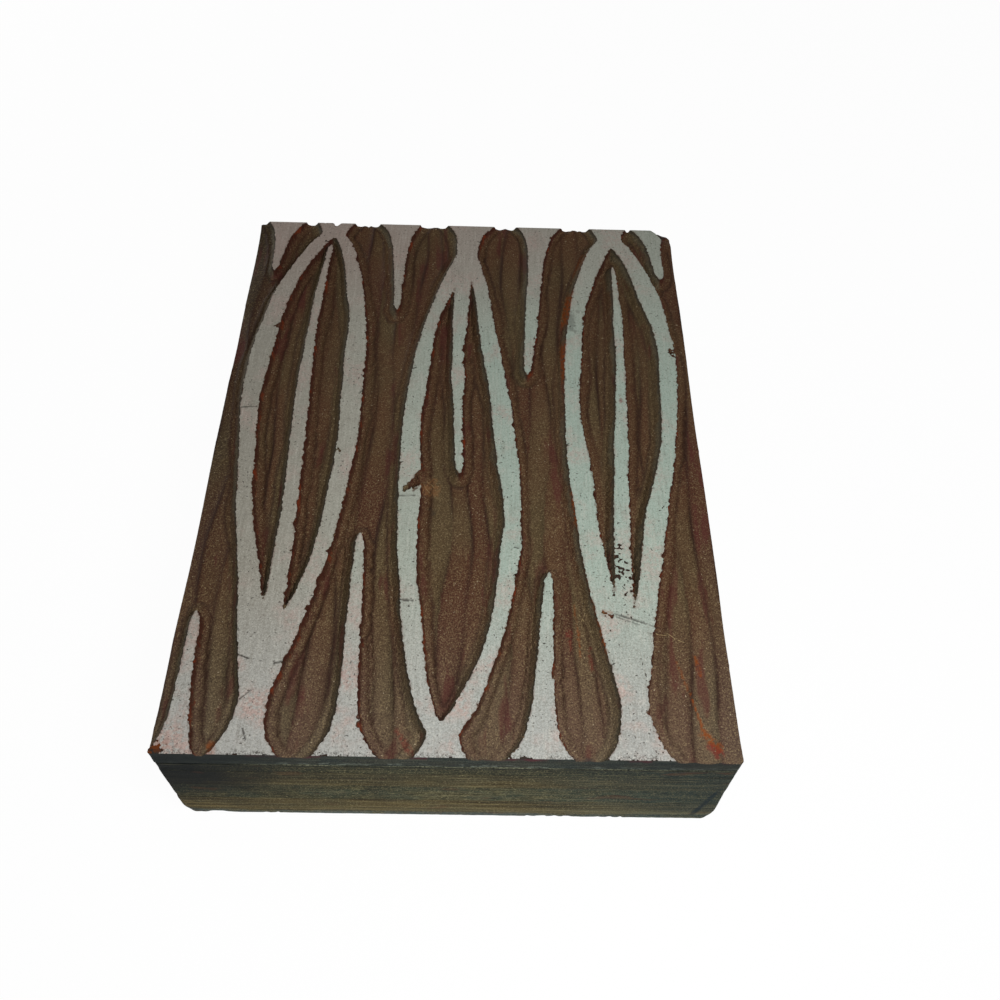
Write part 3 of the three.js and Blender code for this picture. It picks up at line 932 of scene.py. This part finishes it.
def outlinePoints():
    # points around the rounded plan, counter-clockwise from the front left, and how far each
    # lies along the outline
    innerX, innerY = halfWidth - cornerRadius, halfLength - cornerRadius
    straights = [np.linspace(-inner, inner, round(length / mount["sideStep"]))
                 for inner, length in ((innerX, blockWidth), (innerY, blockLength))]
    turn = np.linspace(0, np.pi / 2, mount["cornerSteps"])[1:-1]
    ways = ((0, -1), (1, 0), (0, 1), (-1, 0))  # outward from the front, right, back and left
    x, y = [], []
    for side, (outX, outY) in enumerate(ways):
        nextX, nextY = ways[(side + 1) % 4]
        run, angle = straights[side % 2], np.pi / 2 * (side - 1) + turn
        roundX, roundY = cornerRadius * np.cos(angle), cornerRadius * np.sin(angle)
        x += [outX * halfWidth + nextX * run, (outX + nextX) * innerX + roundX]
        y += [outY * halfLength + nextY * run, (outY + nextY) * innerY + roundY]
    x, y = np.concatenate(x), np.concatenate(y)
    steps = np.hypot(np.diff(x, append=x[:1]), np.diff(y, append=y[:1]))
    return x, y, np.concatenate([[0], np.cumsum(steps)[:-1]])


def sideInset(along, z, x, y, kind, share):
    # how far a side lies inside the plan: saw marks, dents, worn corners and arris, and for
    # the hessian the ends of its yarns as round humps
    saw = 0.5 + 0.5 * softNoise(along, z * 0.25, mount["sawSize"], 21)
    fine = 0.5 + 0.5 * softNoise(along, z, mount["fineSize"], 22)
    dent = positive(softNoise(along, z * 1.4, mount["dentSize"], 23) - mount["dentRarity"])
    fromCorner = np.hypot(halfWidth - np.abs(x), halfLength - np.abs(y))
    corner = positive(mount["cornerReach"] - fromCorner) / mount["cornerReach"]
    uneven = 0.5 + 0.5 * softNoise(z, along * 0.1, mount["wearSize"], 24)
    wear = corner * mount["cornerWear"] * uneven
    chips = positive(noises(along, z * 0, mount["chips"]) - mount["chipRarity"])
    chips = mount["chipDepth"] * chips * np.clip(fromCorner / mount["chipFree"], 0, 1)
    chips = chips * positive(1 - z / mount["chipHeight"])
    arris = positive(1 - z / mount["arrisWear"]) ** 2 * mount["arrisWear"] * mount["arrisShare"]
    inset = kind["recess"] + kind["rough"] * (0.6 * saw + 0.4 * fine)
    inset = inset + dent * mount["dentDepth"] + wear + arris + chips
    if kind["slot"] == "hessian":
        wander = noises(along, z * 0, mount["yarnWander"])
        yarn = np.abs((along / mount["yarnSpacing"] + wander) % 1 - 0.5) * 2
        hump = np.sqrt(positive(1 - (yarn / mount["yarnShare"]) ** 2))
        hump = hump * np.sqrt(positive(1 - (2 * share - 1) ** 2))
        stray = 0.5 + 0.5 * softNoise(along, z * 0, mount["strayLength"], 28)
        inset = inset + mount["yarnDepth"] * (1 - hump * stray)
    return inset


def cornerWear(x, y, z):
    # the lower corners of the mount are knocked round: points past the circle of a wider corner
    # are drawn towards it, fully at the bottom and less with height
    reach = mount["knockRadius"]
    u, v, away = pastCorner(x, y, reach)
    share = positive(away - reach) / away * positive(1 - z / mount["knockHeight"]) ** 2
    return x - np.sign(x) * u * share, y - np.sign(y) * v * share


def makeLayer(node, piece, kind, rowHeight, material):
    # rings around the outline from the bottom of the layer to its top, closed by flat fans
    low, high = (float(corner[2]) for corner in nodeBox(node))
    x, y, along = outlinePoints()
    normalX, normalY = planNormal(x, y)
    rows = max(2, round((high - low) / rowHeight))
    points, faces = [], []
    for share in np.arange(rows + 1) / rows:
        z = np.full(len(x), low + (high - low) * share)
        inward = sideInset(along, z, x, y, kind, share)
        points.append(columns(*cornerWear(x - normalX * inward, y - normalY * inward, z), z))
    rings = np.arange((rows + 1) * len(x)).reshape(rows + 1, -1)
    for lower, upper in zip(rings, rings[1:]):
        faces += [part[:, ::-1] for part in band(lower, upper)]
    points.append(np.array([[0, 0, low], [0, 0, high]]))
    faces += [fan(rings[0], rings.size), fan(rings[-1], rings.size + 1)[:, ::-1]]
    points, faces = np.concatenate(points), np.concatenate(faces)
    print(piece + ":", len(faces), "triangles")
    makePiece(piece, points, faces, material, [node])


# Finishes. Tones are screen colours from 0 to 255.

paintTones = {"orange": (116, 54, 7), "red": (100, 32, 28), "dark": (40, 36, 31)}
linoTones = {
    **paintTones, "scratch": (158, 138, 98), "brown": (70, 46, 31), "maroon": (62, 31, 23),
    "olive": (70, 61, 41), "light": (87, 68, 46), "dust": (108, 100, 90), "grain": (122, 107, 78),
    "darkGrainAndShade": (31, 22, 15), "spark": (184, 170, 140), "wine": (68, 28, 28),
    "crest": (36, 21, 16), "leftWall": (78, 72, 57), "leftEdgeShade": (33, 30, 25),
    "rightWallShadeAndInk": (52, 24, 16), "rust": (104, 40, 16), "uncut": (42, 31, 24),
    "side": (51, 52, 44), "sideTeal": (36, 44, 42), "sideScuff": (87, 91, 77),
    "sideDark": (20, 25, 25), "glueSpot": (122, 130, 118), "ink": (84, 26, 38),
}
frontRows = (-50.4, -50.0)  # the front side lies before these places along the block


def addMarks(finish, paintShare):  # paint and scratches over the other coats
    orange, red, pale = finish.firstThree("marks")
    worn = finish.noise(0.5, 3.0).rise(0.34, 0.52)
    finish.coat(orange * worn * paintShare, "orange")
    finish.coat(red * worn * paintShare, "red")
    finish.coat(pale * worn, "scratch")
    finish.coat(finish.attribute("marks", "Alpha"), "dark")


def scratchShare(finish):
    # 1 on the scratches: each wobbles a little, and fades over its half width and past its ends
    wobble = finish.noise(1.1, 3.0, 0.7)
    x, y, _ = finish.axes
    x, y = x + wobble * 0.7 - 0.35, y - wobble * 0.9 + 0.45
    share = None
    for start, end, half, strength in scratches:
        length = math.dist(start, end)
        runX, runY = (end[0] - start[0]) / length, (end[1] - start[1]) / length
        along = (x - start[0]) * runX + (y - start[1]) * runY - length / 2
        aside = ((x - start[0]) * runY - (y - start[1]) * runX).size()
        line = aside.fall(half * 0.6, half * 1.6) * along.size().fall(length / 2 - 0.5, length / 2)
        share = line * strength if share is None else share.larger(line * strength)
    return share * finish.noise(0.7).rise(0.34, 0.50)


def frontGrime(finish):  # old ink on the front side, thick at its left end, thinner at its right
    x, y, z = finish.axes
    cloud = finish.noise(3.5, 4.0, 0.6) * 14
    lifted = z + cloud * 0.3
    left = (x + cloud).fall(-27, -8) * lifted.rise(4, 16)
    right = (x + cloud).rise(14, 44) * lifted.rise(-8, 14) * 0.55
    return left.larger(right) * y.fall(-halfLength + 0.8, -halfLength + 2.8)


def linoSide(finish, flour, ragged, patches):
    # teal-grey edge of the sheet, with scuffs, glue low down, red ink along its top and grime
    coat, noise = finish.coat, finish.noise
    x, y, z = finish.axes
    lines = noise(0.9, 3.0, 0.6, (0.12, 0.12, 2.4))
    glueSpots = noise(0.8, 3.0, 0.6, (0.55, 0.55, 1)).rise(0.50, 0.64)
    inkPatch = noise(7.0, 3.0, 0.6, (1, 1, 0)).rise(0.48, 0.60)
    inkLine = (z + ragged * 1.6).rise(sheetTop - 0.6, sheetTop + 0.5) * inkPatch
    finish.start(patches.rise(0.40, 0.60), "side", "sideTeal")
    coat(lines.rise(0.50, 0.66) * 0.4, "sideScuff")
    coat(lines.fall(0.34, 0.50) * 0.4, "sideDark")
    coat(glueSpots * (z - ragged * 0.8).fall(19.6, 20.6) * 0.7, "glueSpot")
    coat(flour.rise(0.52, 0.70) * 0.7, "sideScuff")
    coat(flour.fall(0.30, 0.52) * 0.9, "sideDark")
    coat(inkLine * y.fall(-49, -48) * 0.85, "ink")
    coat(frontGrime(finish) * 0.85, "sideDark")
    coat(x.size().rise(4, 36) * y.fall(*frontRows) * 0.26, "sideDark")
    return finish.base


def linoFinish():
    # brown binder with cork and wood flour in olive and maroon flutes with a painted highlight down
    # the middle of each, ink on the ridges, grey walls on the left of the strokes and rusty ones on
    # their right, painted shadow along the edges of the strokes and the left rim, and dirty sides
    finish = Finish("cut_linoleum", linoTones)
    coat, noise = finish.coat, finish.noise
    x, y, _ = finish.axes
    cut, ridge, side = (finish.attribute(name) for name in ("cut", "ridge", "side"))
    olive, maroon, light = finish.firstThree("tones")
    onRight = finish.attribute("tones", "Alpha")
    flour = noise(0.20, 2.0, 0.75)
    ragged = noise(1.4, 3.0)
    patches = noise(2.6, 4.0, 0.65, (0.4, 0.4, 1))
    sideColour = linoSide(finish, flour, ragged, patches)

    broad = noise(6.5, 3.0, stretch=(1, 0.3, 1))
    finish.start(broad.rise(0.50, 0.70) * 0.45, "brown", "maroon")
    coat(broad.fall(0.32, 0.48) * 0.40, "olive")
    coat(maroon * 0.75, "maroon")
    coat(olive * 0.70, "olive")
    # painted highlight down the middle of each flute
    coat(light * 0.22, "light")
    coat(y.fall(-52, -24) * 0.20, "dust")
    # painted shade along the left rim of the face, growing towards the back
    coat(x.fall(-37.5, -31) * (y.rise(-52, 10) * 0.5 + y.rise(10, 46) * 0.3), "darkGrainAndShade")
    coat(x.rise(34, 38) * y.fall(-24, -10) * 0.22, "side")
    bandWidth = noise(9.0, stretch=(0.5, 1, 1)).rise(0.35, 0.62)
    leftWall = cut.rise(0.00, 0.05) * (cut * 1.5 - bandWidth + ragged * 0.9).fall(0.20, 0.95)
    coat(leftWall * (1 - onRight) * 0.70, "leftWall")
    grainShare = y.fall(-40, 24) * 0.24 + 0.62
    coat(flour.rise(0.50, 0.72) * grainShare, "grain")
    coat(flour.fall(0.28, 0.50) * grainShare, "darkGrainAndShade")
    sparks = noise(0.30, 1.0).rise(0.70, 0.78) * noise(2.2).rise(0.36, 0.56)
    coat(sparks * 0.55, "spark")
    coat(noise(2.6, 3.0, stretch=(1, 0.22, 1)).rise(0.58, 0.70) * 0.55, "wine")
    coat(ridge * noise(0.9, 3.0).rise(0.05, 0.45) * 0.95, "crest")

    rust = noise(2.6, 3.0).rise(0.54, 0.66)
    # painted shadow along both edges of each stroke: greenish black on the left, and dark red-brown with
    # rusty ink in places on the right
    edgeShadeAndInkTone = finish.blend(onRight, finish.tone("leftEdgeShade"), finish.tone("rightWallShadeAndInk"))
    edgeShadeAndInkTone = finish.blend(rust * 0.85 * onRight, edgeShadeAndInkTone, finish.tone("rust"))
    outline = cut.rise(0.00, 0.03) * (cut + ragged * 0.4).fall(0.24, 0.64)
    coat(outline * (onRight * 0.15 + 0.75), edgeShadeAndInkTone)
    coat(cut.fall(-0.03, 0.01), "uncut")
    rimStain = (y + ragged * 2.4).fall(-50.1, -48.9) * patches.rise(0.42, 0.56)
    coat(rimStain * 0.65, "sideTeal")
    coat(side, sideColour)
    addMarks(finish, 1.0)
    coat(scratchShare(finish), "scratch")
    height = flour * 0.05 + noise(0.6) * 0.05
    return finish.finishWith(flour * 0.2 + 0.65, height, 0.8, 0.08)


groundTones = {
    **paintTones, "scratch": (70, 54, 42), "white": (147, 146, 135), "shaded": (120, 114, 103),
    "mint": (139, 156, 145), "lilac": (146, 147, 151), "pink": (156, 135, 127),
    "dirt": (102, 97, 86), "bright": (178, 176, 165), "speck": (50, 46, 40), "stain": (86, 56, 46),
}


def groundFinish():
    # a thin matt ground: painted shade at three corners, with greenish, lilac and pinkish tints, brush
    # streaks, fine dark specks, a frayed front rim and a little ink along its edges
    finish = Finish("worn_white_ground", groundTones)
    coat, noise = finish.coat, finish.noise
    x, y, _ = finish.axes
    # painted shade: darker on the left, at the front right and at the back
    shadeLeft = x.fall(-34, -4) * y.rise(-50, -24) * 0.54
    shadeRight = x.rise(0, 32) * y.fall(-50, -18) * 0.82
    shadeBack = y.rise(20, 46) * x.fall(4, 34) * 0.80
    finish.start(shadeLeft.larger(shadeRight).larger(shadeBack), "white", "shaded")
    mint = (x + noise(14) * 30).rise(-8, 26) * (y.rise(-50, -18) * 0.65 + 0.20)
    coat(mint * (1 - y.rise(8, 44) * 0.5), "mint")
    coat(y.fall(-50, -20) * 0.40, "lilac")
    pink = noise(8, 3.0, 0.6).rise(0.48, 0.66) * noise(0.5, 2.0, 0.6).rise(0.30, 0.60)
    coat(pink * (y.fall(-46, -26) * 0.50 + 0.50), "pink")
    coat(y.rise(20, 48) * x.fall(2, 44) * 0.5, "pink")
    cloudy = noise(2.4, 4.0, 0.6)
    coat(cloudy.rise(0.56, 0.85) * 0.30, "dirt")
    brushed = noise(0.8, 3.0, stretch=(2.4, 0.16, 1))
    coat(brushed.rise(0.52, 0.72) * 0.22, "dirt")
    coat(brushed.fall(0.30, 0.48) * 0.22, "bright")
    fine = noise(0.20, 2.0, 0.75)
    grainShare = y.fall(-44, 0) * 0.20 + 0.42
    coat(fine.fall(0.30, 0.52) * grainShare, "dirt")
    coat(fine.rise(0.52, 0.74) * grainShare, "bright")
    specks = noise(0.30, 0.0).fall(0.19, 0.27) * noise(3.5).rise(0.36, 0.52)
    coat(specks * 0.85, "speck")
    frayed = (y - noise(0.5, 3.0) * 1.2).fall(-51.2, -50.7) * fine.fall(0.40, 0.56)
    coat(frayed * noise(5.0).rise(0.40, 0.56) * 0.6, "speck")
    edge = finish.attribute("cut").rise(-0.30, -0.03) * noise(1.1, 3.0).rise(0.42, 0.62)
    coat(edge * 0.45, "stain")
    addMarks(finish, 0.5)
    height = fine * 0.015 + cloudy * 0.03 - specks * 0.05
    return finish.finishWith(cloudy * 0.2 + 0.55, height, 0.7, 0.12)


plyTones = {
    "endLight": (100, 96, 68), "endDark": (44, 44, 33), "endStain": (50, 68, 60),
    "longLight": (116, 102, 67), "longDark": (56, 47, 30), "longStain": (66, 69, 54),
    "soaked": (42, 45, 37), "bottom": (84, 97, 97), "wash": (54, 76, 74), "line": (34, 33, 24),
    "bare": (158, 148, 108), "dirt": (20, 24, 26), "red": (98, 58, 36), "brush": (24, 36, 42),
}
brushMark = (36.2, 8.5)  # place of the dark mark on the front side, across and up


def plyFinish(name, stretch, kind, stainShare):
    # wood of one ply: noise stretched along its grain, which shows as lines on two sides and
    # as specks on the other two, under old ink that soaked in from the top, saw lines, grime
    # and the dark mark of a brush near the right end of the front side
    finish = Finish(name, plyTones)
    light, dark, stain = kind + "Light", kind + "Dark", kind + "Stain"
    coat, noise = finish.coat, finish.noise
    x, y, z = finish.axes
    onFront = y.fall(*frontRows)
    rings = noise(0.9, 3.0, 0.65, stretch)
    pores = noise(0.26, 2.0, 0.7, stretch)
    speckle = noise(0.22, 2.0, 0.75)
    soak = noise(3.0, 4.0, 0.65, (0.4, 0.4, 1.2))
    lines = noise(0.8, 3.0, 0.7, (0.07, 0.07, 2.6))
    finish.start(rings.rise(0.34, 0.66), dark, light)
    coat(soak.rise(0.44, 0.62) * stainShare, stain)
    coat((z + soak * 5).rise(12, 19) * 0.74, "soaked")
    coat(pores.fall(0.32, 0.52) * 0.75, dark)
    coat(z.fall(0.6, 2.4) * soak.rise(0.36, 0.54) * 0.9, "bottom")
    coat((x + soak * 20).rise(16, 48) * onFront * 0.60, "wash")
    coat(lines.fall(0.36, 0.50) * 0.55, "line")
    coat(lines.rise(0.54, 0.68) * 0.35, "bare")
    coat(speckle.fall(0.28, 0.50) * 0.85, dark)
    coat(speckle.rise(0.53, 0.74) * 0.70, "bare")
    coat(pores.rise(0.56, 0.76) * 0.40, "bare")
    grime = noise(12, 4.0, 0.6).rise(0.54, 0.70) * 0.3
    coat(frontGrime(finish).larger(grime) * 0.92, "dirt")
    coat(z.rise(1.6, 2.3) * z.fall(1.8, 4.5) * x.rise(-26, 0) * 0.20, "bare")
    coat(z.rise(15.5, 18) * x.rise(-6, 12) * onFront * 0.24, "dirt")
    coat(noise(3.0, 4.0, stretch=(0.4, 0.4, 1.2)).rise(0.60, 0.72) * 0.30, "red")
    markX, markZ = brushMark
    across, up = x - markX - (z - markZ) * 0.19, z - markZ + soak * 3
    brush = (across.size() + pores * 0.9).fall(0.65, 1.05) * up.size().fall(3.4, 6.4)
    coat(brush * speckle.rise(0.30, 0.50) * onFront * 0.85, "brush")
    coat(z.fall(0.1, 0.5) * pores.rise(0.38, 0.6) * 0.3, "bare")
    height = rings * 0.05 + pores * 0.08 + speckle * 0.05
    return finish.finishWith(pores * 0.2 + 0.70, height, 0.8, 0.06)


hessianTones = {
    "gap": (42, 45, 37), "yarn": (136, 137, 112), "glued": (44, 48, 40), "grime": (18, 22, 22),
}


def hessianFinish():  # jute yarns in old glue: pale humps with dark gaps between their fibres
    finish = Finish("jute_hessian", hessianTones)
    fibres = finish.noise(0.34, 3.0, 0.6, (1, 1, 2))
    finish.start(fibres.rise(0.40, 0.62), "gap", "yarn")
    finish.coat(finish.noise(3.0, 3.0, stretch=(0.5, 0.5, 1)).rise(0.47, 0.60) * 0.8, "glued")
    finish.coat(frontGrime(finish) * 1.05, "grime")
    return finish.finishWith(0.9, fibres * 0.10, 0.8, 0.06)


def glueFinish():  # dark old glue in faint streaks
    finish = Finish("old_glue", {"dark": (26, 28, 23), "pale": (50, 50, 40)})
    streaks = finish.noise(0.8, 3.0, stretch=(0.3, 0.3, 1))
    finish.start(streaks.rise(0.40, 0.60), "dark", "pale")
    return finish.finishWith(0.65, streaks * 0.03, 0.6, 0.08)


# Everything together

placeCamera()
makeRoom()
print("camera, lamps and floor placed")
finishes = {
    "end_grain_ply": plyFinish("end_grain_ply", (0.45, 0.05, 1.6), "end", 0.60),
    "long_grain_ply": plyFinish("long_grain_ply", (0.03, 0.5, 1.5), "long", 0.45),
    "hessian": hessianFinish(),
    "ply_glue": glueFinish(),
}
for node, (piece, kindName, rowHeight) in layers.items():
    kind = sideKinds[kindName]
    makeLayer(node, piece, kind, rowHeight, finishes[kind["slot"]])
print("plywood, glue and hessian made")
makeSheet(linoFinish())
makeFilm(groundFinish())
print("carved face made")

bpy.context.scene.view_settings.view_transform = "Standard"
{"cad": [list(corner) for corner in cadBox], "visual": [list(corner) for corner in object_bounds()]}
